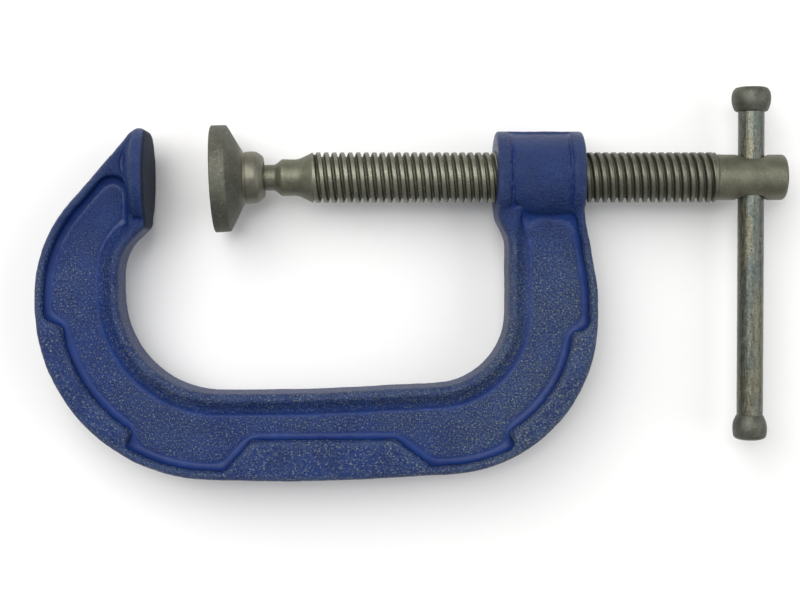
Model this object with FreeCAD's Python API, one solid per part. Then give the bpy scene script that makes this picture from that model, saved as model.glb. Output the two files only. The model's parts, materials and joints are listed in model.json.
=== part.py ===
"""C clamp with a cast frame, a threaded screw, a swivel pad and a sliding tommy bar.

Millimetres. The origin is the centre of the anvil face. X runs along the screw from the anvil to the
handle, Y is the plane of the C away from the throat, and Z stands out of that plane, upwards when the
clamp lies flat.
"""
import FreeCAD, Part
import math
import os
from FreeCAD import Vector

# ---- driving dimensions: frame ----
jaw_opening = 86.3          # anvil face to the inner face of the boss
throat_depth = 53.5         # screw axis to the inner edge of the lower limb
left_limb_width = 20.8
lower_limb_width = 22.3
right_limb_width = 22.4
flange_thickness = 15.6
recess_depth = 2.8          # web below the flange, on each side
outer_rim = 2.2             # flange left standing round the recess, outer edge
inner_rim = 2.9             # flange left standing round the recess, inner edge
flange_edge_radius = 0.9
recess_root_radius = 1.5
limb_inner_offset = 6.9     # inner edge of the left limb, behind the anvil face
outer_left_share = 0.575    # outer corner radii over the depth of the outer edge
outer_right_share = 0.505
inner_left_share = 0.458    # inner corner radii over the throat's depth
inner_right_share = 0.336
shoulder_share = 0.98       # back shoulder's tangent over the straight it has
left_rise = 2.4             # lower limb's outer edge: its left end over its lowest point
right_rise = 3.8            # the same at its right end
inner_rise = 2.4            # lower limb's inner edge: its right end over its lowest point
crown_radius = 400.0
tip_radius = 1.9
heel_radius = 4.0
boss_face_radius = 0.8
buried_radius = 0.1         # corners of the outline that lie inside the boss
back_slope = math.radians(48.7)
back_intercept = 15.2       # height of the back slope's line over the anvil face

# ---- driving dimensions: anvil and boss ----
anvil_radius = 13.0
anvil_thickness = 3.2
anvil_edge_radius = 0.6
anvil_cone_length = 1.6
anvil_cone_radius = 10.6
chin_slope = math.radians(40.0)
chin_radius = 1.6
chin_height = 0.4           # the chin's corner over the lowest point of the anvil disc
chin_fillet_share = 0.23    # over the throat's depth
boss_radius = 11.5
boss_length = 21.8
boss_band_width = 2.8
boss_waist_drop = 0.6
boss_edge_radius = 0.7
parting_ridge_width = 2.4
boss_step = 2.8             # boss face to the inner edge of the right limb
boss_heel = 10.7            # screw axis to the chamfer under the boss face
heel_drop = 4.8
taper_share = 0.523         # wide end of that taper below the screw axis, over the throat's depth
taper_end = 9.0
taper_radius = 30.0

# ---- driving dimensions: lands in the recess ----
corner_land_width = 7.1
handle_land_width = 8.0
name_land_height = 10.6
name_land_start = 9.8       # from the centre of the lower left corner
name_land_length = 35.2
name_land_left_slope = 0.9  # run of the land's end for each unit of its height
name_land_right_slope = 1.35
panel_corner_radius = 1.7
sharp_angle = math.radians(12.0)
corner_land_span = (185.5, 238.0)
handle_land_span = (357.0, 300.0)
land_lean = 6.5             # degrees by which a land's upper end leans out along its corner
panel_gap = 1.2             # back of the anvil disc to the sunken panel
panel_top = 7.0             # screw axis to the panel's end under the boss
panel_end_radius = 4.0
panel_chin_radius = 2.8

# ---- driving dimensions: spindle ----
thread_pitch = 2.0
thread_radius = 6.3
thread_depth = 1.15
thread_crest_share = 0.34   # share of the pitch
thread_root_share = 0.22
thread_length = 100.8
head_radius = 5.72
head_length = 17.9
head_edge_radius = 0.9
bar_hole_inset = 9.5        # thread end to the axis of the bar hole
flare_length = 3.0
tail_radius = 4.55
tail_length = 4.6
tail_chamfer = 1.75
neck_radius = 3.2
neck_gap = 2.65             # bare neck between the pad's collar and the tail
ball_radius = 4.3

# ---- driving dimensions: swivel pad ----
pad_radius = 13.35
pad_rim_thickness = 3.9
pad_cone_length = 3.9
collar_wall = 2.2           # ball to the outside of the collar
collar_cover = 4.2          # ball centre to the collar's lip
collar_edge_radius = 1.3
collar_nip = 0.55           # ball radius over the mouth's
pad_edge_radius = 0.35
pad_rest_gap = 15.8         # anvil face to the centre of the pad's face
pad_floor = 4.3             # pad face to the bottom of the socket
pad_rest_tilt = 2.3         # degrees about Z, as the loose pad hangs

# ---- driving dimensions: tommy bar ----
bar_radius = 3.3
bar_knob_reach = 16.5       # screw axis to the underside of the knob
bar_ferrule_reach = 60.0    # screw axis to the top of the ferrule
spigot_shoulder = 0.8       # bar radius over the spigot's
spigot_length = 4.2
knob_overhang = 1.75        # knob over the bar's radius
knob_height = 6.2
knob_base_overhang = 0.9
ferrule_overhang = 1.05
ferrule_height = 6.3
hole_countersink = 0.7
hole_overrun = 1.0          # cutter past the head's surface

# ---- clearances ----
bore_clearance = 0.08       # radial, screw in the boss
socket_clearance = 0.10
bar_clearance = 0.10

# ---- values that follow ----
half_flange = flange_thickness / 2
spigot_radius = bar_radius - spigot_shoulder
knob_radius = bar_radius + knob_overhang
knob_base_radius = bar_radius + knob_base_overhang
ferrule_radius = bar_radius + ferrule_overhang
ball_x = pad_rest_gap + pad_floor + ball_radius
collar_radius = ball_radius + collar_wall
collar_mouth_radius = ball_radius - collar_nip
collar_end_x = ball_x + collar_cover
tail_x = collar_end_x + neck_gap
flare_x = tail_x + tail_chamfer + tail_length
thread_x = flare_x + flare_length
thread_end_x = thread_x + thread_length
bar_x = thread_end_x + bar_hole_inset
head_end_x = thread_end_x + head_length
boss_end_x = jaw_opening + boss_length
inner_left_x = -limb_inner_offset
outer_left_x = inner_left_x - left_limb_width
inner_right_x = jaw_opening + boss_step
outer_right_x = inner_right_x + right_limb_width
inner_low_y = -throat_depth
outer_low_y = inner_low_y - lower_limb_width
outer_left_radius = -outer_left_share * outer_low_y
outer_right_radius = -outer_right_share * outer_low_y
inner_left_radius = inner_left_share * throat_depth
inner_right_radius = inner_right_share * throat_depth
chin_fillet_radius = chin_fillet_share * throat_depth
taper_start = taper_share * throat_depth
shoulder_corner_y = back_intercept + outer_left_x * math.tan(back_slope)
shoulder_room = shoulder_corner_y - (outer_low_y + left_rise + outer_left_radius)
shoulder_turn = math.pi / 2 - back_slope
back_shoulder_radius = shoulder_share * shoulder_room / math.tan(shoulder_turn / 2)
crown_x = (inner_left_x + inner_right_x) / 2 - boss_step

X_AXIS = Vector(1, 0, 0)
Y_AXIS = Vector(0, 1, 0)
Z_AXIS = Vector(0, 0, 1)
ORIGIN = Vector(0, 0, 0)


def polar(centre, radius, degrees):
    """Point on a circle in the XY plane."""
    angle = math.radians(degrees)
    return Vector(centre.x + radius * math.cos(angle), centre.y + radius * math.sin(angle), 0)


def corner_centre(side_x, rise, inwards_radius):
    """Centre of the outer corner between an upright side and the sloping lower edge."""
    slope = rise / abs(side_x - crown_x)
    x = side_x + inwards_radius
    radius = abs(inwards_radius)
    return Vector(x, outer_low_y + slope * abs(x - crown_x) + radius * math.hypot(1, slope), 0)


def rounded_face(corners):
    """Flat face inside a closed outline of corners (x, y, radius)."""
    places = [Vector(x, y, 0) for x, y, radius in corners]
    starts, middles, ends = [], [], []
    for index, (x, y, radius) in enumerate(corners):
        corner = places[index]
        to_last = (places[index - 1] - corner).normalize()
        to_next = (places[(index + 1) % len(places)] - corner).normalize()
        half = to_last.getAngle(to_next) / 2
        bisector = (to_last + to_next).normalize()
        starts.append(corner + to_last * (radius / math.tan(half)))
        middles.append(corner + bisector * (radius / math.sin(half) - radius))
        ends.append(corner + to_next * (radius / math.tan(half)))
    edges = []
    for index, start in enumerate(starts):
        edges.append(Part.Arc(start, middles[index], ends[index]).toShape())
        following = starts[(index + 1) % len(starts)]
        if (following - ends[index]).Length > 1e-4:
            edges.append(Part.LineSegment(ends[index], following).toShape())
    return Part.Face(Part.Wire(edges))


def slab(face, low_z, high_z):
    """Prism on a flat face in the XY plane."""
    lifted = face.copy()
    lifted.translate(Vector(0, 0, low_z))
    return lifted.extrude(Vector(0, 0, high_z - low_z))


def turned(profile, base, axis, up):
    """Solid of revolution; the profile is (along the axis, radius) from end to end on the axis."""
    points = [base + axis * along + up * radius for along, radius in profile]
    wire = Part.makePolygon(points + [points[0]])
    return Part.Face(wire).revolve(base, axis, 360)


def edges_at(shape, axis, place):
    """Edges that lie wholly in the plane across the axis at that place."""
    found = []
    for edge in shape.Edges:
        box = edge.BoundBox
        low = Vector(box.XMin, box.YMin, box.ZMin).dot(axis)
        high = Vector(box.XMax, box.YMax, box.ZMax).dot(axis)
        if abs(low - place) < 0.01 and abs(high - place) < 0.01:
            found.append(edge)
    return found


def back_height(x, inset):
    """Height of the sloping back of the anvil end at x, moved in by the inset."""
    return back_intercept + x * math.tan(back_slope) - inset / math.cos(back_slope)


def chin_line(x, inset):
    """Height of the sloping chin under the anvil at x, moved into the metal by the inset."""
    corner = -anvil_radius + chin_height
    return corner + x * math.tan(chin_slope) + inset / math.cos(chin_slope)


def outer_edge(inset):
    """Corners of the C's outer edge from the right limb to the back, moved in by the inset."""
    low_y = outer_low_y + inset
    left_x = outer_left_x + inset
    right_x = outer_right_x - inset
    return [
        (right_x, -taper_start, taper_radius),
        (right_x, low_y + right_rise, outer_right_radius - inset),
        (crown_x, low_y, crown_radius),
        (left_x, low_y + left_rise, outer_left_radius - inset),
        (left_x, back_height(left_x, inset), back_shoulder_radius - inset),
    ]


def inner_edge(inset):
    """Corners of the C's inner edge from the chin to the right limb, moved in by the inset."""
    left_x = inner_left_x - inset
    low_y = inner_low_y - inset
    right_x = inner_right_x + inset
    return [
        (left_x, chin_line(left_x, inset), chin_fillet_radius),
        (left_x, low_y, inner_left_radius + inset),
        (crown_x, low_y, crown_radius),
        (right_x, low_y + inner_rise, inner_right_radius + inset),
    ]


def frame_outline():
    """Whole side outline of the casting."""
    return rounded_face([
        (0, back_height(0, 0), tip_radius),
        (0, chin_line(0, 0), chin_radius),
        *inner_edge(0),
        (inner_right_x, -boss_heel - heel_drop, heel_radius),
        (jaw_opening, -boss_heel, boss_face_radius),
        (jaw_opening, 0, buried_radius),
        (boss_end_x, 0, buried_radius),
        (boss_end_x, -taper_end, taper_radius / 2),
        *outer_edge(0),
    ])


def disc(centre, radius):
    """Flat round face in the XY plane."""
    return Part.Face(Part.Wire(Part.makeCircle(radius, centre)))


def corner_land(centre, width, span):
    """Raised land that widens the rim round an outer corner, from its leaning upper end to its lower end."""
    radius = centre.y - outer_low_y
    reach = radius * 2
    upper, lower = span
    lean = math.copysign(land_lean / 2, upper - lower)
    wedge = Part.Face(Part.makePolygon([
        centre,
        polar(centre, radius - width, upper - lean),
        polar(centre, radius, upper + lean),
        polar(centre, reach, upper + lean),
        polar(centre, reach, lower),
        centre,
    ]))
    return wedge.cut(disc(centre, radius - width))


def name_land():
    """Raised blank land along the middle of the lower limb."""
    top = outer_low_y + name_land_height
    low = outer_low_y - name_land_height
    left = outer_left_x + outer_left_radius + name_land_start
    right = left + name_land_length
    left_foot = left - (top - low) * name_land_left_slope
    right_foot = right + (top - low) * name_land_right_slope
    return Part.Face(Part.makePolygon([
        Vector(left, top, 0),
        Vector(right, top, 0),
        Vector(right_foot, low, 0),
        Vector(left_foot, low, 0),
        Vector(left, top, 0),
    ]))


def sharp_uprights(prism):
    """Upright edges of a prism where two of its walls meet at a corner."""
    found = []
    for edge in prism.Edges:
        first, last = edge.firstVertex().Point, edge.lastVertex().Point
        if abs(first.z - last.z) < recess_depth:
            continue
        middle = (first + last) * 0.5
        walls = prism.ancestorsOfType(edge, Part.Face)
        normals = [wall.normalAt(*wall.Surface.parameter(middle)) for wall in walls]
        if normals[0].getAngle(normals[1]) > sharp_angle:
            found.append(edge)
    return found


def recess_face():
    """Outline of the sunken panel on each side, with the raised lands left standing."""
    back_x = -anvil_thickness - panel_gap
    panel = rounded_face([
        (back_x, back_height(back_x, outer_rim), panel_end_radius),
        (back_x, chin_line(back_x, inner_rim), panel_chin_radius),
        *inner_edge(inner_rim),
        (inner_right_x + inner_rim, -panel_top, panel_corner_radius),
        (boss_end_x - outer_rim, -panel_top, panel_corner_radius),
        *outer_edge(outer_rim),
    ])
    for land in (
        corner_land(corner_centre(outer_left_x, left_rise, outer_left_radius), corner_land_width,
                    corner_land_span),
        corner_land(corner_centre(outer_right_x, right_rise, -outer_right_radius), handle_land_width,
                    handle_land_span),
        name_land(),
    ):
        panel = panel.cut(land)
    return panel.Faces[0]


def recess_cutter():
    """Solid that sinks the panel into the upper side, with a rounded foot to its wall."""
    prism = slab(recess_face(), half_flange - recess_depth, half_flange + recess_depth)
    prism = prism.makeFillet(panel_corner_radius, sharp_uprights(prism))
    return prism.makeFillet(recess_root_radius, edges_at(prism, Z_AXIS, half_flange - recess_depth))


def limb():
    """The C itself: flanges with soft edges round a thinner web."""
    body = slab(frame_outline(), -half_flange, half_flange)
    rims = edges_at(body, Z_AXIS, half_flange) + edges_at(body, Z_AXIS, -half_flange)
    body = body.makeFillet(flange_edge_radius, rims)
    cutter = recess_cutter()
    return body.cut(cutter).cut(cutter.mirror(ORIGIN, Z_AXIS))


def anvil():
    """Round anvil face with a short cone behind it, trimmed to the slope of the back."""
    blank = turned([
        (0, 0),
        (0, anvil_radius),
        (-anvil_thickness, anvil_radius),
        (-anvil_thickness - anvil_cone_length, anvil_cone_radius),
        (-anvil_thickness - anvil_cone_length, 0),
    ], ORIGIN, X_AXIS, Y_AXIS)
    blank = blank.makeFillet(anvil_edge_radius, edges_at(blank, X_AXIS, 0))
    return blank.common(slab(frame_outline(), -anvil_radius, anvil_radius))


def tip_waste():
    """Corners of the flange that would stand outside the round of the anvil."""
    block = Part.makeBox(anvil_radius, 2 * anvil_radius, 4 * anvil_radius,
                         Vector(-anvil_radius, 0, -2 * anvil_radius))
    return block.cut(Part.makeCylinder(anvil_radius, anvil_radius, Vector(-anvil_radius, 0, 0), X_AXIS))


def boss():
    """Screw boss: a round barrel with raised end bands and a ridge along its parting line."""
    barrel = Part.makeCylinder(boss_radius, boss_length, Vector(jaw_opening, 0, 0), X_AXIS)
    ends = edges_at(barrel, X_AXIS, jaw_opening) + edges_at(barrel, X_AXIS, boss_end_x)
    barrel = barrel.makeFillet(boss_edge_radius, ends)
    start = Vector(jaw_opening + boss_band_width, 0, 0)
    waist_length = boss_length - 2 * boss_band_width
    waste = Part.makeCylinder(boss_radius + boss_waist_drop, waist_length, start, X_AXIS)
    waste = waste.cut(Part.makeCylinder(boss_radius - boss_waist_drop, waist_length, start, X_AXIS))
    ridge = Part.makeBox(waist_length, 2 * boss_radius, parting_ridge_width,
                         start + Vector(0, 0, -parting_ridge_width / 2))
    return barrel.cut(waste.cut(ridge))


def thread_rings():
    """Outline of the threaded length: rings of the thread's pitch and depth, as (x, radius)."""
    crest = thread_crest_share * thread_pitch
    root = thread_root_share * thread_pitch
    flank = (thread_pitch - crest - root) / 2
    root_radius = thread_radius - thread_depth
    outline = []
    for index in range(int(thread_length / thread_pitch)):
        x = thread_x + index * thread_pitch
        outline += [
            (x, thread_radius),
            (x + crest, thread_radius),
            (x + crest + flank, root_radius),
            (x + crest + flank + root, root_radius),
        ]
    return outline


def frame():
    """The casting: limb, anvil and boss in one piece, bored for the screw."""
    casting = limb().cut(tip_waste()).fuse([anvil(), boss()])
    bore = Part.makeCylinder(thread_radius + bore_clearance, 2 * boss_length,
                             Vector(jaw_opening - boss_length / 2, 0, 0), X_AXIS)
    return casting.cut(bore).removeSplitter()


def spindle():
    """Screw with its drilled head at one end and the tail, neck and ball at the other."""
    screw = turned([
        (ball_x, 0),
        (ball_x, neck_radius),
        (tail_x, neck_radius),
        (tail_x + tail_chamfer, tail_radius),
        (flare_x, tail_radius),
        *thread_rings(),
        (thread_end_x, head_radius),
        (head_end_x, head_radius),
        (head_end_x, 0),
    ], ORIGIN, X_AXIS, Y_AXIS)
    screw = screw.makeFillet(head_edge_radius, edges_at(screw, X_AXIS, head_end_x))
    ball = Part.makeSphere(ball_radius, Vector(ball_x, 0, 0))
    return screw.fuse(ball).cut(bar_hole())


def bar_hole():
    """Cross hole through the head, with a countersunk mouth on each side."""
    radius = bar_radius + bar_clearance
    reach = head_radius + hole_overrun
    flare = hole_countersink + hole_overrun
    return turned([
        (-reach, 0),
        (-reach, radius + flare),
        (flare - reach, radius),
        (reach - flare, radius),
        (reach, radius + flare),
        (reach, 0),
    ], Vector(bar_x, 0, 0), Y_AXIS, X_AXIS)


def swivel_pad():
    """Pressing pad: a thick rim, a cone and a collar closed in over the ball."""
    cone_x = pad_rest_gap + pad_rim_thickness
    collar_x = cone_x + pad_cone_length
    blank = turned([
        (pad_rest_gap, 0),
        (pad_rest_gap, pad_radius),
        (cone_x, pad_radius),
        (collar_x, collar_radius),
        (collar_end_x, collar_radius),
        (collar_end_x, 0),
    ], ORIGIN, X_AXIS, Y_AXIS)
    blank = blank.makeFillet(pad_edge_radius, edges_at(blank, X_AXIS, pad_rest_gap))
    blank = blank.makeFillet(collar_edge_radius, edges_at(blank, X_AXIS, collar_end_x))
    socket = Part.makeSphere(ball_radius + socket_clearance, Vector(ball_x, 0, 0))
    mouth = Part.makeCylinder(collar_mouth_radius, 2 * collar_cover, Vector(ball_x, 0, 0), X_AXIS)
    pad = blank.cut(socket).cut(mouth)
    pad.rotate(Vector(ball_x, 0, 0), Z_AXIS, pad_rest_tilt)
    return pad


def tommy_bar():
    """Plain round bar with a turned-down spigot at each end."""
    top = bar_knob_reach
    low = -bar_ferrule_reach
    return turned([
        (low - spigot_length, 0),
        (low - spigot_length, spigot_radius),
        (low, spigot_radius),
        (low, bar_radius),
        (top, bar_radius),
        (top, spigot_radius),
        (top + spigot_length, spigot_radius),
        (top + spigot_length, 0),
    ], Vector(bar_x, 0, 0), Y_AXIS, X_AXIS)


def bar_end(profile, base_y, outwards):
    """Cap turned about the bar's axis, bored for the spigot."""
    base = Vector(bar_x, base_y, 0)
    cap = turned(profile, base, outwards, X_AXIS)
    return cap.cut(Part.makeCylinder(spigot_radius, spigot_length, base, outwards))


def bar_knob():
    """Bulbous end with a slightly crowned top."""
    return bar_end([
        (0, 0),
        (0, knob_base_radius),
        (0.25 * knob_height, 0.94 * knob_radius),
        (0.5 * knob_height, knob_radius),
        (0.75 * knob_height, 0.96 * knob_radius),
        (0.95 * knob_height, 0.85 * knob_radius),
        (knob_height, 0.6 * knob_radius),
        (knob_height, 0),
    ], bar_knob_reach, Y_AXIS)


def bar_ferrule():
    """Straighter end with a sloping shoulder and a rounded rim."""
    return bar_end([
        (0, 0),
        (0, bar_radius),
        (0.25 * ferrule_height, 0.96 * ferrule_radius),
        (0.5 * ferrule_height, ferrule_radius),
        (0.9 * ferrule_height, 0.95 * ferrule_radius),
        (ferrule_height, 0.75 * ferrule_radius),
        (ferrule_height, 0),
    ], -bar_ferrule_reach, -Y_AXIS)


PIECES = {
    "frame": frame,
    "spindle": spindle,
    "swivel_pad": swivel_pad,
    "tommy_bar": tommy_bar,
    "bar_knob": bar_knob,
    "bar_ferrule": bar_ferrule,
}

os.makedirs("parts", exist_ok=True)
for name, make in PIECES.items():
    piece = make()
    piece.exportStep("parts/" + name + ".step")
    box = piece.BoundBox
    print(name, piece.ShapeType, len(piece.Solids), piece.isValid(), round(piece.Volume, 1),
          [round(value, 2) for value in (box.XMin, box.YMin, box.ZMin, box.XMax, box.YMax, box.ZMax)])
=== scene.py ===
"""C clamp lying on its side: cast blue frame, two-start screw, swivel pad and sliding tommy bar."""

import json
import math

import bmesh
import bpy
import numpy as np
from mathutils import Matrix, Vector, kdtree, noise


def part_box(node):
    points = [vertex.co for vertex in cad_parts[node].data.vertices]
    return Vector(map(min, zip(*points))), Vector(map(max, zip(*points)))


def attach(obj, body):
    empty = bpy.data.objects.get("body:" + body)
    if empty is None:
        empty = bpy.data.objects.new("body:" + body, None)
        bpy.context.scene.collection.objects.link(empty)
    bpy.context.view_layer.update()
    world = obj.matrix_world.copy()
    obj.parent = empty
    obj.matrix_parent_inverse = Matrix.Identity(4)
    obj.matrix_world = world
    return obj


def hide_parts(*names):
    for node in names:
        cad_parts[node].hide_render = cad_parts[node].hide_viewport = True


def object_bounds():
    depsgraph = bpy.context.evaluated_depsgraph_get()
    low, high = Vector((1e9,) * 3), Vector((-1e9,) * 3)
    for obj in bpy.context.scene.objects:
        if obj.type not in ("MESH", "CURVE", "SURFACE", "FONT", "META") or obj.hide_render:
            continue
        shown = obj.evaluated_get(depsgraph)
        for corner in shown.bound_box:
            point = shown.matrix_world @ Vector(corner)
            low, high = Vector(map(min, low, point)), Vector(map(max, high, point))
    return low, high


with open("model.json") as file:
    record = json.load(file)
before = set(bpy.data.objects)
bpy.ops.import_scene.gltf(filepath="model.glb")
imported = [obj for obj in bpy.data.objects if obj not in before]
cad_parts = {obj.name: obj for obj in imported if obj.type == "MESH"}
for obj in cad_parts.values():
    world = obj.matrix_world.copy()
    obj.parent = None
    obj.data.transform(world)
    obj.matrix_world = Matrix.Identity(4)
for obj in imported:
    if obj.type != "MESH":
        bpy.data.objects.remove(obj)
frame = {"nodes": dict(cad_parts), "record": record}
cad_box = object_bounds()

# ---- places and sizes, from the frame ----
SPINDLE_LOW, SPINDLE_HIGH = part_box("spindle")
BAR_LOW, BAR_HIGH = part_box("tommy_bar")
KNOB_LOW, KNOB_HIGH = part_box("bar_knob")
FERRULE_LOW, FERRULE_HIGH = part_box("bar_ferrule")
JOINTS = {joint["name"]: joint for joint in frame["record"]["behaviour"]["joints"]}
COUPLING = frame["record"]["behaviour"]["couplings"][0]

MM = 0.001
LEAD = 2 * math.pi / COUPLING["ratio"]
THREAD_STARTS = 2
THREAD_RADIUS = (SPINDLE_HIGH[2] - SPINDLE_LOW[2]) / 2
THREAD_DEPTH = 1.15 * MM
BALL_X = JOINTS["screw_turn"]["pos_m"][0]
HEAD_END_X = SPINDLE_HIGH[0]
HEAD_LENGTH = 17.9 * MM
THREAD_LENGTH = 100.8 * MM
THREAD_END_X = HEAD_END_X - HEAD_LENGTH
THREAD_X = THREAD_END_X - THREAD_LENGTH
BAR_X = (BAR_LOW[0] + BAR_HIGH[0]) / 2
BAR_RADIUS = (BAR_HIGH[0] - BAR_LOW[0]) / 2
PAD_TILT = math.atan2(-frame["record"]["mounts"][1]["axis"][1], -frame["record"]["mounts"][1]["axis"][0])


# ======================================================================
# Node maths
# ======================================================================

class Value:
    """A number socket that can be used in Python expressions."""

    def __init__(self, tree, socket):
        self.tree = tree
        self.socket = socket

    def maths(self, operation, first, second=None, third=None):
        node = self.tree.add("ShaderNodeMath", {"operation": operation})
        for index, part in enumerate((first, second, third)):
            if part is not None:
                self.tree.plug(part, node.inputs[index])
        return Value(self.tree, node.outputs[0])

    def __add__(self, other):
        return self.maths("ADD", self, other)

    def __radd__(self, other):
        return self.maths("ADD", other, self)

    def __sub__(self, other):
        return self.maths("SUBTRACT", self, other)

    def __rsub__(self, other):
        return self.maths("SUBTRACT", other, self)

    def __mul__(self, other):
        return self.maths("MULTIPLY", self, other)

    def __rmul__(self, other):
        return self.maths("MULTIPLY", other, self)

    def __truediv__(self, other):
        return self.maths("DIVIDE", self, other)

    def __rtruediv__(self, other):
        return self.maths("DIVIDE", other, self)

    def __pow__(self, other):
        return self.maths("POWER", self, other)

    def __neg__(self):
        return self.maths("MULTIPLY", self, -1.0)

    def within(self, low, high):
        """0 below low, 1 above high, smooth between."""
        node = self.tree.add("ShaderNodeMapRange", {"interpolation_type": "SMOOTHSTEP"},
                             {"Value": self, "From Min": low, "From Max": high})
        return Value(self.tree, node.outputs["Result"])

    def clamped(self):
        return self.maths("MINIMUM", self.maths("MAXIMUM", self, 0.0), 1.0)

    def fraction(self):
        return self.maths("FRACT", self)

    def root(self):
        return self.maths("SQRT", self)

    def size(self):
        return self.maths("ABSOLUTE", self)

    def angle_to(self, other):
        return self.maths("ARCTAN2", self, other)


class Tree:
    """A node tree with one way to add a node."""

    def __init__(self, nodes):
        self.nodes = nodes.nodes
        self.links = nodes.links

    def plug(self, part, socket):
        if isinstance(part, Value):
            self.links.new(part.socket, socket)
        elif isinstance(part, bpy.types.NodeSocket):
            self.links.new(part, socket)
        else:
            socket.default_value = part

    def add(self, kind, settings=None, inputs=None):
        """Node of a kind: its settings first, then the values or links of its sockets."""
        node = self.nodes.new(kind)
        for name, setting in (settings or {}).items():
            if name == "stops":
                set_stops(node.color_ramp, setting)
            else:
                setattr(node, name, setting)
        for name, part in (inputs or {}).items():
            self.plug(part, node.inputs[name])
        return node

    def value(self, kind, settings=None, inputs=None, output=0):
        return Value(self, self.add(kind, settings, inputs).outputs[output])


def set_stops(ramp, stops):
    while len(ramp.elements) > 1:
        ramp.elements.remove(ramp.elements[-1])
    for index, (position, colour) in enumerate(stops):
        element = ramp.elements[0] if index == 0 else ramp.elements.new(position)
        element.position = position
        element.color = (*colour, 1.0)


class Finish(Tree):
    """A material for one finish, patterned in Object coordinates."""

    def __init__(self, name):
        self.material = bpy.data.materials.new(name)
        self.material.use_nodes = True
        super().__init__(self.material.node_tree)
        self.nodes.clear()
        self.shader = self.add("ShaderNodeBsdfPrincipled")
        output = self.add("ShaderNodeOutputMaterial")
        self.links.new(self.shader.outputs[0], output.inputs["Surface"])
        self.place = self.add("ShaderNodeTexCoord").outputs["Object"]

    def moved(self, location=(0, 0, 0), rotation=(0, 0, 0), scale=(1, 1, 1)):
        """Object coordinates after a Mapping node."""
        return self.add("ShaderNodeMapping", {"vector_type": "TEXTURE"}, {
            "Vector": self.place, "Location": location, "Rotation": rotation, "Scale": scale,
        }).outputs[0]

    def stretched(self, x, y, z, place=None):
        """Coordinates multiplied along each axis."""
        return self.add("ShaderNodeVectorMath", {"operation": "MULTIPLY"}, {
            0: place or self.place, 1: (x, y, z),
        }).outputs[0]

    def axes(self, place=None):
        node = self.add("ShaderNodeSeparateXYZ", None, {0: place or self.place})
        return [Value(self, socket) for socket in node.outputs]

    def cloud(self, grain, detail=3.0, roughness=0.55, place=None, warp=0.0):
        """Noise about 0.5 whose features are grain metres across."""
        return self.value("ShaderNodeTexNoise", {"noise_dimensions": "3D"}, {
            "Vector": place or self.place, "Scale": 1.0 / grain, "Detail": detail,
            "Roughness": roughness, "Distortion": warp,
        })

    def cells(self, grain, feature="F1", place=None, randomness=1.0):
        """Distance to the nearest of scattered points grain metres apart."""
        return self.value("ShaderNodeTexVoronoi", {"feature": feature}, {
            "Vector": place or self.place, "Scale": 1.0 / grain, "Randomness": randomness,
        })

    def mix(self, factor, first, second):
        """Colour between two colours."""
        node = self.add("ShaderNodeMix", {"data_type": "RGBA", "clamp_factor": True})
        self.plug(factor, node.inputs[0])
        self.plug(rgba(first), node.inputs[6])
        self.plug(rgba(second), node.inputs[7])
        return node.outputs[2]

    def attribute(self, name):
        return self.value("ShaderNodeAttribute", {"attribute_name": name}, None, "Fac")

    def bump(self, height, distance, strength=1.0, normal=None):
        inputs = {"Height": height, "Distance": distance, "Strength": strength}
        if normal is not None:
            inputs["Normal"] = normal
        return self.add("ShaderNodeBump", None, inputs).outputs[0]

    def set(self, **parts):
        """Values or links on the shader's own sockets, spaces written as underscores."""
        for name, part in parts.items():
            self.plug(part, self.shader.inputs[name.replace("_", " ")])
        return self.material


def rgba(colour):
    return (*colour, 1.0) if isinstance(colour, tuple) else colour


# ======================================================================
# Finishes
# ======================================================================

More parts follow.
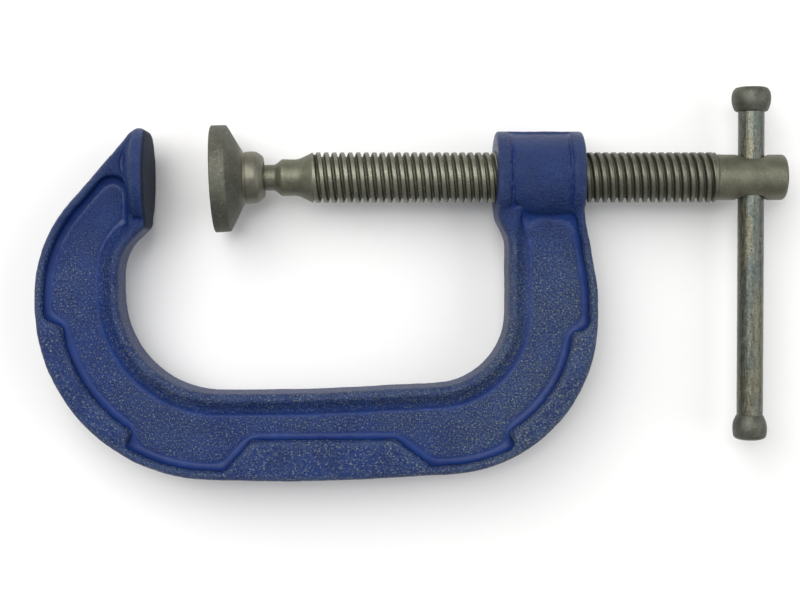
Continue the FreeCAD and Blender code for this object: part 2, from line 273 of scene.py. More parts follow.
def frame_enamel():
    """Deep blue enamel over a rough sand casting, dusted grey on its open grain, with painted shade in its
    creases and on the anvil face.
    """
    paint = Finish("frame_enamel")
    swell = paint.cloud(7.0 * MM, 3.0)
    patch = paint.cloud(16.0 * MM, 2.0)
    grain = paint.cloud(0.50 * MM, 3.0, 0.65)
    fine = paint.cloud(0.33 * MM, 2.0, 0.6)
    pits = paint.cells(1.0 * MM)
    hollow = paint.attribute("hollow")
    edge = paint.attribute("edge")
    open_grain = 1.0 - hollow.within(0.10, 0.45)

    deep = (0.004, 0.021, 0.122)
    body = (0.006, 0.032, 0.166)
    dusty = (0.092, 0.120, 0.112)
    chalk = (0.330, 0.340, 0.270)
    colour = paint.mix(swell.within(0.3, 0.75), deep, body)
    x, y, _ = paint.axes()
    worn = 1.0 - y.within(-24 * MM, -9 * MM) * 0.72
    cover = (0.15 + patch.within(0.35, 0.65) * 0.20 + x.within(30 * MM, 110 * MM) * 0.32) * open_grain * worn
    dust = (grain.within(0.44, 0.57) * 0.6 + fine.within(0.44, 0.60) * 0.5) * cover
    colour = paint.mix(dust.clamped(), colour, dusty)
    pinholes = ((1.0 - fine.within(0.34, 0.46)) * open_grain * 0.85).clamped()
    colour = paint.mix(pinholes, colour, (0.003, 0.008, 0.034))
    speck = grain.within(0.54, 0.62) * fine.within(0.48, 0.56) * open_grain
    colour = paint.mix((speck * (worn - 0.28) * 0.70).clamped(), colour, chalk)
    colour = paint.mix((edge.within(0.20, 0.8) * 0.16 * swell.within(0.3, 0.6)).clamped(), colour, dusty)
    colour = paint.mix(((1.0 - worn) * 0.32).clamped(), colour, (0.004, 0.014, 0.050))
    # painted shade: the anvil face, which faces away from the key light, is darkened almost to black
    face = x.within(-1.0 * MM, -0.25 * MM) * (1.0 - x.within(2 * MM, 4 * MM)) * y.within(-14 * MM, -12 * MM)
    colour = paint.mix((face * 0.85).clamped(), colour, (0.006, 0.012, 0.026))
    # painted shade: the concave creases and recess walls are darkened to a deeper blue
    painted_crease_shade = hollow.within(0.25, 0.9) * 0.48
    colour = paint.mix(painted_crease_shade, colour, (0.004, 0.013, 0.078))

    height = swell * 0.35 + grain * (0.05 + open_grain * 0.40) + fine * (open_grain * 0.22 + 0.02)
    height = height + pits.within(0.0, 0.45) * 0.12 * open_grain + swell * (1.0 - worn) * 0.5
    return paint.set(
        Base_Color=colour,
        Metallic=0.0,
        Roughness=(0.15 + worn * 0.22 + grain * 0.22 + dust * 0.16 + face * 0.5).clamped(),
        Normal=paint.bump(height, 0.95 * MM, 1.0),
        Coat_Weight=0.03,
        Coat_Roughness=0.25,
        IOR=1.34,
    )


def screw_steel():
    """Grey rolled screw: dark roots and flanks from oil in the roots and painted shade down the groove walls,
    crests bright from wear, bright flecks that are partly wear and partly painted glints, fine rolling lines
    along the turns.
    """
    steel = Finish("screw_steel")
    x, y, z = steel.axes()
    radius = (y * y + z * z).root()
    crest = radius.within(THREAD_RADIUS - 0.75 * THREAD_DEPTH, THREAD_RADIUS - 0.05 * THREAD_DEPTH)
    on_thread = x.within(THREAD_X - 0.5 * MM, THREAD_X + 0.5 * MM) * (
        1.0 - x.within(THREAD_END_X - 0.8 * MM, THREAD_END_X + 0.2 * MM))
    oily = x.within(100 * MM, 112 * MM) * on_thread
    sunk = (THREAD_RADIUS - radius) / THREAD_DEPTH
    flank = sunk.within(0.10, 0.32) * (1.0 - sunk.within(0.70, 0.92)) * on_thread
    root = (1.0 - crest) * on_thread
    rings = steel.cloud(0.16 * MM, 3.0, 0.6, steel.stretched(1.0, 0.06, 0.06))
    blotch = steel.cloud(5.0 * MM, 4.0, 0.6)
    fleck = steel.cloud(0.45 * MM, 3.0, 0.6)
    pits = steel.cells(0.9 * MM)

    grey = (0.108, 0.110, 0.080)
    pale = (0.180, 0.178, 0.130)
    dark = (0.040, 0.040, 0.031)
    colour = steel.mix(blotch.within(0.3, 0.7) * 0.7 + rings.within(0.4, 0.7) * 0.3, grey, pale)
    colour = steel.mix((crest * on_thread * 0.45).clamped(), colour, (0.22, 0.22, 0.172))
    # bright flecks: partly worn steel, partly painted glints of light
    rubbed_specks_and_glints = (fleck.within(0.56, 0.66) * (0.14 + on_thread * 0.34)).clamped()
    colour = steel.mix(rubbed_specks_and_glints, colour, (0.42, 0.41, 0.33))
    # dark roots and flanks: oil in the roots, and painted shade down the groove walls
    colour = steel.mix((root * 0.22 + flank * 0.45).clamped(), colour, dark)
    colour = steel.mix((fleck.within(0.38, 0.30) * 0.5).clamped(), colour, (0.08, 0.078, 0.06))

    colour = steel.mix(oily * 0.38, colour, (0.040, 0.039, 0.030))
    height = rings * 0.5 + fleck * 0.35 + pits.within(0.0, 0.35) * 0.25
    return steel.set(
        Base_Color=colour,
        Metallic=0.72,
        Roughness=(0.40 + blotch * 0.14 + root * 0.12 - crest * on_thread * 0.06).clamped(),
        Normal=steel.bump(height, 0.09 * MM, 0.8),
    )


def pad_steel():
    """Turned grey pad: faint rings about its own axis, speckled skin, shinier crimped collar."""
    steel = Finish("pad_steel")
    place = steel.moved((BALL_X, 0.0, 0.0), (0.0, 0.0, PAD_TILT))
    x, y, z = steel.axes(place)
    radius = (y * y + z * z).root()
    turning = steel.value("ShaderNodeTexNoise", {"noise_dimensions": "2D"}, {
        "Vector": steel.add("ShaderNodeCombineXYZ", None, {0: x * 1.0, 1: radius * 1.0, 2: 0.0}).outputs[0],
        "Scale": 1.0 / (0.32 * MM), "Detail": 2.0,
    })
    blotch = steel.cloud(4.0 * MM, 4.0, 0.6)
    fleck = steel.cloud(0.5 * MM, 3.0, 0.65)
    collar = x.within(-2.4 * MM, -0.6 * MM)

    colour = steel.mix(blotch.within(0.3, 0.7), (0.088, 0.090, 0.072), (0.130, 0.131, 0.105))
    colour = steel.mix((fleck.within(0.57, 0.68) * 0.45).clamped(), colour, (0.27, 0.27, 0.22))
    colour = steel.mix((collar * 0.5).clamped(), colour, (0.185, 0.175, 0.130))
    colour = steel.mix((fleck.within(0.40, 0.30) * 0.5).clamped(), colour, (0.07, 0.07, 0.055))

    height = turning * 0.4 + fleck * 0.5
    return steel.set(
        Base_Color=colour,
        Metallic=0.65,
        Roughness=(0.60 - collar * 0.22 + blotch * 0.10).clamped(),
        Normal=steel.bump(height, 0.07 * MM, 0.8),
    )


def bar_zinc():
    """Bright drawn bar: long draw lines, scuffs, and the faint blue and straw of its zinc skin."""
    zinc = Finish("bar_zinc")
    draw = zinc.cloud(0.30 * MM, 4.0, 0.65, zinc.stretched(1.0, 0.04, 1.0))
    scuff = zinc.cloud(0.55 * MM, 5.0, 0.7, zinc.stretched(1.0, 0.22, 1.0), 0.4)
    tint = zinc.cloud(4.5 * MM, 2.0, 0.5, zinc.stretched(1.0, 0.35, 1.0))
    dull = zinc.cloud(0.6 * MM, 3.0, 0.6)

    colour = zinc.mix(tint.within(0.38, 0.62), (0.090, 0.106, 0.098), (0.128, 0.124, 0.086))
    scratched = (scuff.within(0.50, 0.62) * 0.50 + draw.within(0.52, 0.64) * 0.30).clamped()
    colour = zinc.mix(scratched, colour, (0.250, 0.243, 0.190))
    colour = zinc.mix((dull.within(0.46, 0.34) * 0.7).clamped(), colour, (0.045, 0.045, 0.038))
    height = draw * 0.55 + scuff * 0.5 + dull * 0.3
    return zinc.set(
        Base_Color=colour,
        Metallic=0.85,
        Roughness=(0.20 + scuff.within(0.35, 0.65) * 0.18 + dull * 0.08).clamped(),
        Normal=zinc.bump(height, 0.14 * MM, 0.9),
    )


def end_steel():
    """Matt grey bar ends, slightly pitted."""
    steel = Finish("end_steel")
    blotch = steel.cloud(2.6 * MM, 4.0, 0.6)
    fleck = steel.cloud(0.45 * MM, 3.0, 0.65)
    pits = steel.cells(0.8 * MM)
    colour = steel.mix(blotch.within(0.3, 0.7), (0.068, 0.072, 0.056), (0.112, 0.115, 0.092))
    colour = steel.mix((fleck.within(0.57, 0.68) * 0.45).clamped(), colour, (0.26, 0.26, 0.22))
    height = blotch * 0.5 + fleck * 0.4 + pits.within(0.0, 0.4) * 0.4
    return steel.set(
        Base_Color=colour,
        Metallic=0.6,
        Roughness=(0.42 + blotch * 0.16).clamped(),
        Normal=steel.bump(height, 0.10 * MM, 0.9),
    )


# ======================================================================
# Mesh helpers
# ======================================================================

def object_from(name, vertices, faces, material):
    mesh = bpy.data.meshes.new(name)
    mesh.from_pydata([tuple(v) for v in vertices], [], faces)
    mesh.validate()
    mesh.materials.append(material)
    piece = bpy.data.objects.new(name, mesh)
    bpy.context.collection.objects.link(piece)
    return piece


def tidy_mesh(piece, merge=1e-6):
    """Merge doubles, point faces outwards and shade smooth."""
    build = bmesh.new()
    build.from_mesh(piece.data)
    bmesh.ops.remove_doubles(build, verts=build.verts, dist=merge)
    bmesh.ops.dissolve_degenerate(build, dist=merge / 2, edges=build.edges)
    bmesh.ops.recalc_face_normals(build, faces=build.faces)
    build.to_mesh(piece.data)
    build.free()
    for polygon in piece.data.polygons:
        polygon.use_smooth = True
    piece.data.update()


def baked(piece, name):
    """Plain mesh object holding what the piece's modifiers make, in place of the piece."""
    graph = bpy.context.evaluated_depsgraph_get()
    mesh = bpy.data.meshes.new_from_object(piece.evaluated_get(graph))
    mesh.name = name
    result = bpy.data.objects.new(name, mesh)
    bpy.context.collection.objects.link(result)
    bpy.data.objects.remove(piece, do_unlink=True)
    return result


def profile_points(profile, step):
    """Points along a polyline profile, no further apart than the step."""
    points = [Vector(profile[0])]
    for start, end in zip(profile, profile[1:]):
        start, end = Vector(start), Vector(end)
        count = max(1, math.ceil((end - start).length / step))
        points.extend(start.lerp(end, index / count) for index in range(1, count + 1))
    return points


def rounded_profile(corners, pieces=6):
    """Open profile through corners (along, radius, rounding)."""
    points = []
    for index, (along, radius, rounding) in enumerate(corners):
        corner = Vector((along, radius))
        if rounding == 0 or index in (0, len(corners) - 1):
            points.append(corner)
            continue
        back = Vector(corners[index - 1][:2]) - corner
        ahead = Vector(corners[index + 1][:2]) - corner
        start = corner + back.normalized() * rounding
        end = corner + ahead.normalized() * rounding
        for part in range(pieces + 1):
            t = part / pieces
            points.append(start.lerp(corner, t).lerp(corner.lerp(end, t), t))
    return [tuple(point) for point in points]


def turned(name, profile, base, axis, across, sides, material, step=0.5 * MM, uneven=None):
    """Closed turned mesh; uneven(along, radius, angle) may change the radius."""
    base, axis, across = Vector(base), Vector(axis), Vector(across)
    side = axis.cross(across)
    rows = profile_points(profile, step)
    vertices, faces = [], []
    for along, radius in rows:
        for turn in range(sides):
            angle = 2 * math.pi * turn / sides
            reach = uneven(along, radius, angle) if uneven and radius > 0 else radius
            vertices.append(base + axis * along + (across * math.cos(angle) + side * math.sin(angle)) * reach)
    for row in range(len(rows) - 1):
        for turn in range(sides):
            following = (turn + 1) % sides
            low, high = row * sides, (row + 1) * sides
            faces.append((low + turn, low + following, high + following, high + turn))
    piece = object_from(name, vertices, faces, material)
    tidy_mesh(piece)
    return piece


def smooth_steps(mesh, rounds, share):
    """Vertex places after so many rounds of averaging with their neighbours; share may differ by vertex."""
    count = len(mesh.vertices)
    places = np.empty(count * 3)
    mesh.vertices.foreach_get("co", places)
    places = places.reshape(-1, 3)
    pairs = np.empty(len(mesh.edges) * 2, dtype=np.int64)
    mesh.edges.foreach_get("vertices", pairs)
    first, second = pairs.reshape(-1, 2).T
    meetings = np.bincount(np.concatenate((first, second)), minlength=count)[:, None]
    for _ in range(rounds):
        total = np.zeros_like(places)
        for axis in range(3):
            total[:, axis] = (np.bincount(first, places[second, axis], count)
                              + np.bincount(second, places[first, axis], count))
        places = places + share * (total / np.maximum(meetings, 1) - places)
    return places


def vertex_normals(mesh):
    normals = np.empty(len(mesh.vertices) * 3)
    mesh.vertices.foreach_get("normal", normals)
    return normals.reshape(-1, 3)


def put_places(mesh, places):
    mesh.vertices.foreach_set("co", places.ravel())
    mesh.update()


def put_attribute(mesh, name, values):
    layer = mesh.attributes.new(name, "FLOAT", "POINT")
    layer.data.foreach_set("value", values.astype(np.float32))


# ======================================================================
# Frame casting
# ======================================================================

CAST_VOXEL = 0.52 * MM
CAST_LUMP = 0.055 * MM
BORE_RADIUS = THREAD_RADIUS + 0.2 * MM


def blend(values, low, high):
    """0 below low, 1 above high, smooth between."""
    share = np.clip((values - low) / (high - low), 0, 1)
    return share * share * (3 - 2 * share)


def inner_cove(mesh):
    """How freely each vertex may settle into the wide slope between the inner rim and the sunken panel."""
    places = smooth_steps(mesh, 0, 0)
    normals = vertex_normals(mesh)
    throat = np.array((0.042, -0.028))
    inwards = np.einsum("ij,ij->i", normals[:, :2], throat - places[:, :2])
    on_edge = (np.abs(places[:, 2]) < 1 * MM) & (np.abs(normals[:, 2]) < 0.3) & (inwards > 0.004) & (
        places[:, 1] < -12 * MM) & (places[:, 0] < 0.100)
    edge = places[on_edge][::3]
    tree = kdtree.KDTree(len(edge))
    for index, place in enumerate(edge):
        tree.insert((place[0], place[1], 0), index)
    tree.balance()
    away = np.array([tree.find((x, y, 0))[2] for x, y, _ in places])
    sides = blend(np.abs(places[:, 2]), 3.8 * MM, 4.4 * MM)
    below_boss = blend(-places[:, 1], 11 * MM, 13 * MM)
    return sides * below_boss * blend(away, 1.9 * MM, 2.3 * MM) * (1 - blend(away, 4.9 * MM, 5.5 * MM))


def cast_frame(material):
    """The casting: CAD shape with its edges washed soft, as sand and enamel leave them."""
    source = frame["nodes"]["frame"]
    shell = bpy.data.objects.new("frame_casting", source.data.copy())
    bpy.context.collection.objects.link(shell)
    tidy_mesh(shell, 1e-6)
    remesh = shell.modifiers.new("sand", "REMESH")
    remesh.mode = "VOXEL"
    remesh.voxel_size = CAST_VOXEL
    remesh.use_smooth_shade = True
    casting = baked(shell, "frame_casting")
    mesh = casting.data

    places = smooth_steps(mesh, 0, 0)
    radius = np.hypot(places[:, 1], places[:, 2])
    bored = (radius < BORE_RADIUS + 0.3 * MM) & (places[:, 0] > 80 * MM)
    places[bored, 1:] *= (BORE_RADIUS / np.maximum(radius[bored], 1 * MM))[:, None]
    put_places(mesh, places)
    crisp = blend(places[:, 0], 80 * MM, 84 * MM) * blend(places[:, 1], -9 * MM, -7 * MM)
    at_anvil = blend(places[:, 0], -6.5 * MM, -4.5 * MM) * blend(-places[:, 0], -6 * MM, -2 * MM)
    crisp = np.maximum(crisp, at_anvil * blend(places[:, 1], -13 * MM, -11 * MM))
    put_places(mesh, smooth_steps(mesh, 4, 0.5 * (1 - 0.8 * crisp)[:, None]))
    put_places(mesh, smooth_steps(mesh, 9, 0.5 * (1 - crisp)[:, None]))
    cove = inner_cove(mesh)
    put_places(mesh, smooth_steps(mesh, 45, 0.6 * cove[:, None]))
    under_boss = blend(-places[:, 1], 7.5 * MM, 9.5 * MM) * blend(places[:, 1], -16 * MM, -13 * MM) * blend(
        np.abs(places[:, 2]), 3.0 * MM, 4.0 * MM) * blend(places[:, 0], 84 * MM, 87 * MM)
    put_places(mesh, smooth_steps(mesh, 22, 0.5 * under_boss[:, None]))
    put_places(mesh, smooth_steps(mesh, 3, 0.5 * (1 - crisp)[:, None]))
    places = smooth_steps(mesh, 0, 0)
    normals = vertex_normals(mesh)
    broad = smooth_steps(mesh, 10, 0.6)
    relief = np.einsum("ij,ij->i", broad - places, normals)
    spread = 0.20 * MM
    put_attribute(mesh, "hollow", np.clip(relief / spread, 0, 1))
    put_attribute(mesh, "edge", np.clip(-relief / spread, 0, 1))

    lumps = np.array([noise.noise(Vector(place) / (1.7 * MM)) + 0.6 * noise.noise(Vector(place) / (0.9 * MM))
                      + 1.3 * noise.noise(Vector(place) / (5.0 * MM)) for place in places])
    bore = np.hypot(places[:, 1], places[:, 2]) < BORE_RADIUS + 0.4 * MM
    lumps[bore & (places[:, 0] > 0.05)] = 0
    put_places(mesh, places + normals * (lumps * CAST_LUMP - 0.3 * CAST_LUMP)[:, None])
    for polygon in mesh.polygons:
        polygon.use_smooth = True
    mesh.materials.clear()
    mesh.materials.append(material)
    return casting


# ======================================================================
# Spindle
# ======================================================================

def thread_tree(material):
    """Geometry Nodes: rolls a thread of several starts into a plain round blank along X."""
    tree = bpy.data.node_groups.new("rolled_thread", "GeometryNodeTree")
    for name, kind, side in (
        ("Geometry", "NodeSocketGeometry", "INPUT"),
        ("Lead", "NodeSocketFloat", "INPUT"),
        ("Starts", "NodeSocketFloat", "INPUT"),
        ("Depth", "NodeSocketFloat", "INPUT"),
        ("Start X", "NodeSocketFloat", "INPUT"),
        ("End X", "NodeSocketFloat", "INPUT"),
        ("Run Out", "NodeSocketFloat", "INPUT"),
        ("Geometry", "NodeSocketGeometry", "OUTPUT"),
    ):
        tree.interface.new_socket(name, in_out=side, socket_type=kind)
    make = Tree(tree)
    given = make.add("NodeGroupInput")
    lead, starts, depth, start_x, end_x, run_out = [Value(make, given.outputs[name]) for name in (
        "Lead", "Starts", "Depth", "Start X", "End X", "Run Out")]
    position = make.add("GeometryNodeInputPosition").outputs[0]
    parts = make.add("ShaderNodeSeparateXYZ", None, {0: position}).outputs
    x, y, z = [Value(make, socket) for socket in parts]
    angle = z.angle_to(y)
    phase = ((x / lead - angle / (2 * math.pi)) * starts + 100.0).fraction()
    from_crest = (phase - 0.5).size() * 2.0
    groove = 1.0 - from_crest.within(0.22, 0.58)
    fade = (x - start_x) / run_out
    fade = fade.clamped() * ((end_x - x) / run_out).clamped()
    sunk = depth * groove * fade
    radius = (y * y + z * z).root()
    share = (radius - sunk) / radius
    moved = make.add("ShaderNodeCombineXYZ", None, {0: x, 1: y * share, 2: z * share})
    place = make.add("GeometryNodeSetPosition", None, {
        "Geometry": given.outputs["Geometry"], "Position": moved.outputs[0],
    })
    real = make.add("GeometryNodeRealizeInstances", None, {"Geometry": place.outputs[0]})
    coat = make.add("GeometryNodeSetMaterial", None, {"Geometry": real.outputs[0], "Material": material})
    result = make.add("NodeGroupOutput")
    make.plug(coat.outputs[0], result.inputs[0])
    return tree


def set_input(modifier, name, value):
    """Give a Geometry Nodes modifier one named input."""
    for item in modifier.node_group.interface.items_tree:
        if item.item_type == "SOCKET" and item.in_out == "INPUT" and item.name == name:
            modifier[item.identifier] = value


def screw_blank(material):
    """Threaded length's blank: a round mesh whose rows climb with the thread's lead."""
    sides = 72
    rows_per_lead = 22
    rise = LEAD / rows_per_lead
    count = math.ceil((THREAD_END_X - THREAD_X) / rise)
    vertices, faces = [], []
    for row in range(-rows_per_lead, count + 1):
        for turn in range(sides):
            angle = 2 * math.pi * turn / sides
            x = THREAD_X + rise * row + LEAD * turn / sides
            x = min(max(x, THREAD_X), THREAD_END_X)
            vertices.append((x, THREAD_RADIUS * math.cos(angle), THREAD_RADIUS * math.sin(angle)))
    total = count + 1 + rows_per_lead
    for row in range(total - 1):
        for turn in range(sides - 1):
            low, high = row * sides + turn, (row + 1) * sides + turn
            faces.append((low, low + 1, high + 1, high))
        shifted = row + rows_per_lead
        if shifted + 1 < total:
            low, high = row * sides + sides - 1, (row + 1) * sides + sides - 1
            faces.append((low, shifted * sides, (shifted + 1) * sides, high))
    return vertices, faces, sides


def spindle_blank(material):
    """Whole screw before rolling: ball, neck, tail, flare, threaded length and head."""
    vertices, faces, sides = screw_blank(material)
    core = THREAD_RADIUS - 0.55 * MM
    front = rounded_profile([
        (BALL_X - 4.3 * MM, 0, 0),
        (BALL_X - 4.25 * MM, 0.9 * MM, 0),
        (BALL_X - 3.72 * MM, 2.15 * MM, 0),
        (BALL_X - 2.15 * MM, 3.72 * MM, 0),
        (BALL_X, 4.3 * MM, 0),
        (BALL_X + 1.65 * MM, 3.97 * MM, 0),
        (BALL_X + 2.87 * MM, 3.2 * MM, 0.2 * MM),
        (THREAD_X - 9.35 * MM, 3.2 * MM, 0.5 * MM),
        (THREAD_X - 7.6 * MM, 4.60 * MM, 0.35 * MM),
        (THREAD_X - 3.6 * MM, 4.5 * MM, 1.2 * MM),
        (THREAD_X - 1.2 * MM, core - 0.1 * MM, 0.8 * MM),
        (THREAD_X - 0.15 * MM, THREAD_RADIUS - 0.1 * MM, 0.1 * MM),
        (THREAD_X, THREAD_RADIUS, 0),
    ])
    back = rounded_profile([
        (THREAD_END_X, THREAD_RADIUS, 0),
        (THREAD_END_X + 0.5 * MM, 5.78 * MM, 0.2 * MM),
        (THREAD_END_X + 3.0 * MM, 5.72 * MM, 0.5 * MM),
        (HEAD_END_X, 5.72 * MM, 1.1 * MM),
        (HEAD_END_X, 0, 0),
    ])
    for profile in (front, back):
        rows = profile_points(profile, 0.45 * MM)
        start = len(vertices)
        for along, radius in rows:
            for turn in range(sides):
                angle = 2 * math.pi * turn / sides
                vertices.append((along, radius * math.cos(angle), radius * math.sin(angle)))
        for row in range(len(rows) - 1):
            for turn in range(sides):
                low, high = start + row * sides, start + (row + 1) * sides
                following = (turn + 1) % sides
                faces.append((low + turn, low + following, high + following, high + turn))
    blank = object_from("spindle_blank", vertices, faces, material)
    tidy_mesh(blank, 2e-6)
    return blank


def spindle_screw(material):
    """The screw with its rolled thread and its countersunk bar hole."""
    blank = spindle_blank(material)
    roll = blank.modifiers.new("roll", "NODES")
    roll.node_group = thread_tree(material)
    for name, value in (("Lead", LEAD), ("Starts", float(THREAD_STARTS)), ("Depth", THREAD_DEPTH),
                        ("Start X", THREAD_X - 0.2 * MM), ("End X", THREAD_END_X), ("Run Out", 1.4 * MM)):
        set_input(roll, name, value)
    threaded = baked(blank, "spindle_rolled")
    hole = BAR_RADIUS + 0.12 * MM
    drill = turned("drill", rounded_profile([
        (-8 * MM, 0, 0),
        (-8 * MM, hole + 2.6 * MM, 0),
        (-5.5 * MM, hole + 0.85 * MM, 0.6 * MM),
        (-4.2 * MM, hole, 0.6 * MM),
        (4.2 * MM, hole, 0.6 * MM),
        (5.5 * MM, hole + 0.85 * MM, 0.6 * MM),
        (8 * MM, hole + 2.6 * MM, 0),
        (8 * MM, 0, 0),
    ]), (BAR_X, 0, 0), (0, 1, 0), (1, 0, 0), 64, material, 0.6 * MM)
    cut = threaded.modifiers.new("drill", "BOOLEAN")
    cut.operation = "DIFFERENCE"
    cut.solver = "EXACT"
    cut.object = drill
    screw = baked(threaded, "spindle_screw")
    bpy.data.objects.remove(drill, do_unlink=True)
    tidy_mesh(screw, 1e-6)
    screw.data.materials.clear()
    screw.data.materials.append(material)
    shade_by_angle(screw, 40)
    return screw


def shade_by_angle(piece, degrees):
    """Smooth shading with sharp edges where faces meet at more than the angle."""
    build = bmesh.new()
    build.from_mesh(piece.data)
    limit = math.radians(degrees)
    for edge in build.edges:
        edge.smooth = not (len(edge.link_faces) == 2 and edge.calc_face_angle(0) > limit)
    build.to_mesh(piece.data)
    build.free()


# ======================================================================
# Pad, bar and its ends
# ======================================================================

def pressing_pad(material):
    """Swivel pad, with a collar hammered in over the ball and a ragged lip."""
    rim_thickness = 3.9 * MM
    rim_radius = 13.35 * MM
    cone_length = 3.9 * MM
    socket_radius = 4.42 * MM
    face = -8.6 * MM
    cone = face + rim_thickness + cone_length
    lip = cone + 5.0 * MM
    profile = rounded_profile([
        (face, 0, 0),
        (face, rim_radius, 0.45 * MM),
        (face + rim_thickness, rim_radius - 0.05 * MM, 0.35 * MM),
        (cone, 6.20 * MM, 0.3 * MM),
        (cone + 0.7 * MM, 6.50 * MM, 0.4 * MM),
        (cone + 3.3 * MM, 6.45 * MM, 0.7 * MM),
        (lip - 0.15 * MM, 5.20 * MM, 0.45 * MM),
        (lip, 4.5 * MM, 0.3 * MM),
        (lip - 0.15 * MM, 3.78 * MM, 0.25 * MM),
        (lip - 1.6 * MM, 3.75 * MM, 0.2 * MM),
        (1.2 * MM, 4.25 * MM, 0),
        (0, socket_radius, 0),
        (-3.1 * MM, 3.15 * MM, 0),
        (-socket_radius, 0, 0),
    ])

    def uneven(along, radius, angle):
        beaten = max(0.0, min(1.0, (along - cone - 1.5 * MM) / (3.0 * MM)))
        spot = Vector((math.cos(angle) * 1.5, math.sin(angle) * 1.5, along / MM * 0.3))
        return radius * (1 + beaten * 0.035 * noise.noise(spot * 1.7)) + 0.015 * MM * noise.noise(spot * 3)

    axis = Vector((math.cos(PAD_TILT), math.sin(PAD_TILT), 0))
    across = Vector((-math.sin(PAD_TILT), math.cos(PAD_TILT), 0))
    pad = turned("swivel_pad_turned", profile, (BALL_X, 0, 0), axis, across, 120, material, 0.6 * MM, uneven)
    shade_by_angle(pad, 35)
    return pad


def plain_bar(material):
    """Drawn bar, a little dented and not quite even."""
    def uneven(along, radius, angle):
        spot = Vector((math.cos(angle), along / MM * 0.12, math.sin(angle)))
        return radius + 0.025 * MM * noise.noise(spot * 2.2) - 0.02 * MM

    low, high = BAR_LOW[1], BAR_HIGH[1]
    bar = turned("tommy_bar_drawn", [(low, 0), (low, BAR_RADIUS), (high, BAR_RADIUS), (high, 0)],
                 (BAR_X, 0, 0), (0, 1, 0), (1, 0, 0), 64, material, 0.8 * MM, uneven)
    shade_by_angle(bar, 40)
    return bar


def bar_end(name, corners, base_y, outwards, wobble, material):
    """Pressed-on end of the bar, a little out of round."""
    def uneven(along, radius, angle):
        spot = Vector((math.cos(angle), along / MM * 0.2, math.sin(angle)))
        return radius * (1 + wobble * (noise.noise(spot * 1.3) - 0.4))

    end = turned(name, rounded_profile(corners), (BAR_X, base_y, 0), (0, outwards, 0), (1, 0, 0), 72,
                 material, 0.35 * MM, uneven)
    shade_by_angle(end, 40)
    return end


def knob(material):
    top = KNOB_HIGH[1] - KNOB_LOW[1]
    wide = (KNOB_HIGH[0] - KNOB_LOW[0]) / 2
    return bar_end("bar_knob_pressed", [
        (0.05 * MM, 0, 0),
        (0.0, 0.80 * wide, 0.4 * MM),
        (0.22 * top, 0.93 * wide, 0.7 * MM),
        (0.52 * top, 1.01 * wide, 1.2 * MM),
        (0.86 * top, 0.93 * wide, 0.9 * MM),
        (0.99 * top, 0.72 * wide, 0.8 * MM),
        (top, 0, 0),
    ], KNOB_LOW[1], 1, 0.02, material)


def ferrule(material):
    long = FERRULE_HIGH[1] - FERRULE_LOW[1]
    wide = (FERRULE_HIGH[0] - FERRULE_LOW[0]) / 2
    return bar_end("bar_ferrule_pressed", [
        (0.0, 0, 0),
        (0.0, BAR_RADIUS + 0.1 * MM, 0.15 * MM),
        (0.28 * long, 0.97 * wide, 0.8 * MM),
        (0.55 * long, 1.01 * wide, 0.8 * MM),
        (0.90 * long, 0.95 * wide, 0.7 * MM),
        (long, 0.60 * wide, 0.7 * MM),
        (long, 0, 0),
    ], FERRULE_HIGH[1], -1, 0.02, material)


# ======================================================================
# Stage
# ======================================================================

def floor():
    """Pale sheet that the clamp lies on."""
    level = cad_box[0][2] - 0.2 * MM
    reach = 3.0
    sheet = object_from("floor", [(-reach, -reach, level), (reach, -reach, level),
                                  (reach, reach, level), (-reach, reach, level)], [(0, 1, 2, 3)], None)
    finish = Finish("floor_card")
    tone = finish.cloud(0.4, 2.0)
    sheet.data.materials.clear()
    sheet.data.materials.append(finish.set(
        Base_Color=finish.mix(tone, (0.86, 0.86, 0.86), (0.90, 0.90, 0.90)), Roughness=0.9))


def lamp(name, place, target, size, power, colour=(1, 1, 1)):
    light = bpy.data.lights.new(name, "AREA")
    light.shape = "RECTANGLE"
    light.size, light.size_y = size
    light.energy = power
    light.color = colour
    holder = bpy.data.objects.new(name, light)
    holder.location = place
    holder.rotation_euler = (Vector(target) - Vector(place)).to_track_quat("-Z", "Y").to_euler()
    bpy.context.collection.objects.link(holder)


CAMERA_DISTANCE = 0.400
CAMERA_LENS = 71.7


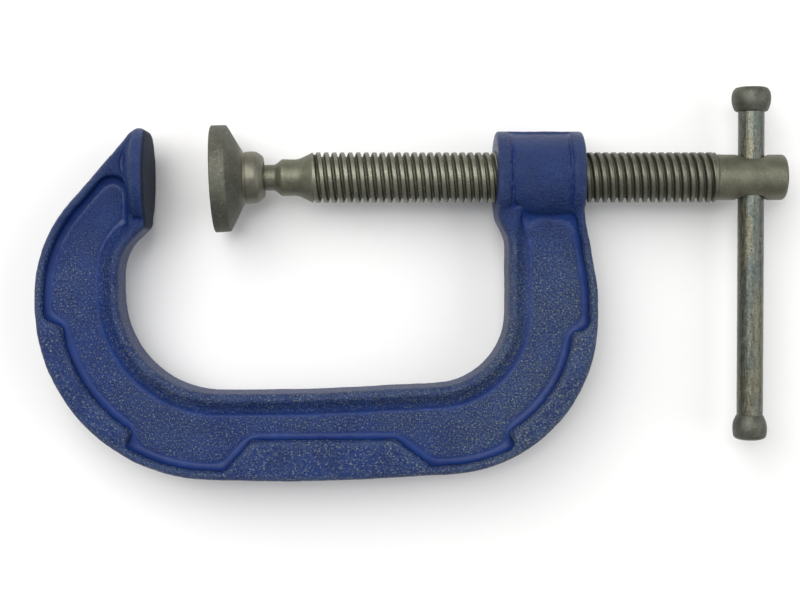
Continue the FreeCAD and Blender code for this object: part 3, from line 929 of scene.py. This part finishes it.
def camera():
    """Nearly straight down on the flat side from 400 mm, a touch from the anvil's side and from the top."""
    swing, nod, roll = math.radians(1.5), math.radians(1.9), math.radians(-0.1)
    target = Vector((0.06242, -0.03068, 0.0))
    lens = bpy.data.cameras.new("camera")
    lens.lens = CAMERA_LENS
    lens.clip_start = 0.01
    towards = Vector((-math.sin(swing) * math.cos(nod), math.sin(nod), math.cos(swing) * math.cos(nod)))
    holder = bpy.data.objects.new("camera", lens)
    turn = Matrix.Rotation(swing, 3, "Y").transposed() @ Matrix.Rotation(nod, 3, "X").transposed()
    facing = (turn @ Matrix.Rotation(roll, 3, "Z")).to_quaternion()
    holder.matrix_world = Matrix.LocRotScale(target + towards * CAMERA_DISTANCE, facing, None)
    bpy.context.collection.objects.link(holder)
    bpy.context.scene.camera = holder


def studio():
    centre = (0.06, -0.03, 0.0)
    lamp("key", (-0.30, 0.42, 0.80), centre, (0.85, 0.85), 8.3, (1.0, 0.99, 0.97))
    lamp("fill", (0.75, 0.0, 0.65), centre, (0.8, 0.8), 3.2)
    lamp("front", (-0.05, 0.14, 1.1), centre, (0.5, 0.2), 2.6)
    world = bpy.data.worlds.new("room")
    world.use_nodes = True
    world.node_tree.nodes["Background"].inputs[0].default_value = (1, 1, 1, 1)
    world.node_tree.nodes["Background"].inputs[1].default_value = 0.34
    bpy.context.scene.world = world
    bpy.context.scene.view_settings.view_transform = "Standard"


camera()
studio()
floor()

enamel = frame_enamel()
screw_finish = screw_steel()
pad_finish = pad_steel()
bar_finish = bar_zinc()
end_finish = end_steel()

for piece, body, node, slot in (
    (cast_frame(enamel), "frame_body", "frame", "frame_paint"),
    (spindle_screw(screw_finish), "screw_body", "spindle", "screw_steel"),
    (pressing_pad(pad_finish), "pad_body", "swivel_pad", "pad_steel"),
    (plain_bar(bar_finish), "bar_body", "tommy_bar", "bar_zinc"),
    (knob(end_finish), "bar_body", "bar_knob", "bar_end_steel"),
    (ferrule(end_finish), "bar_body", "bar_ferrule", "bar_end_steel"),
):
    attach(piece, body)
    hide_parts(node)
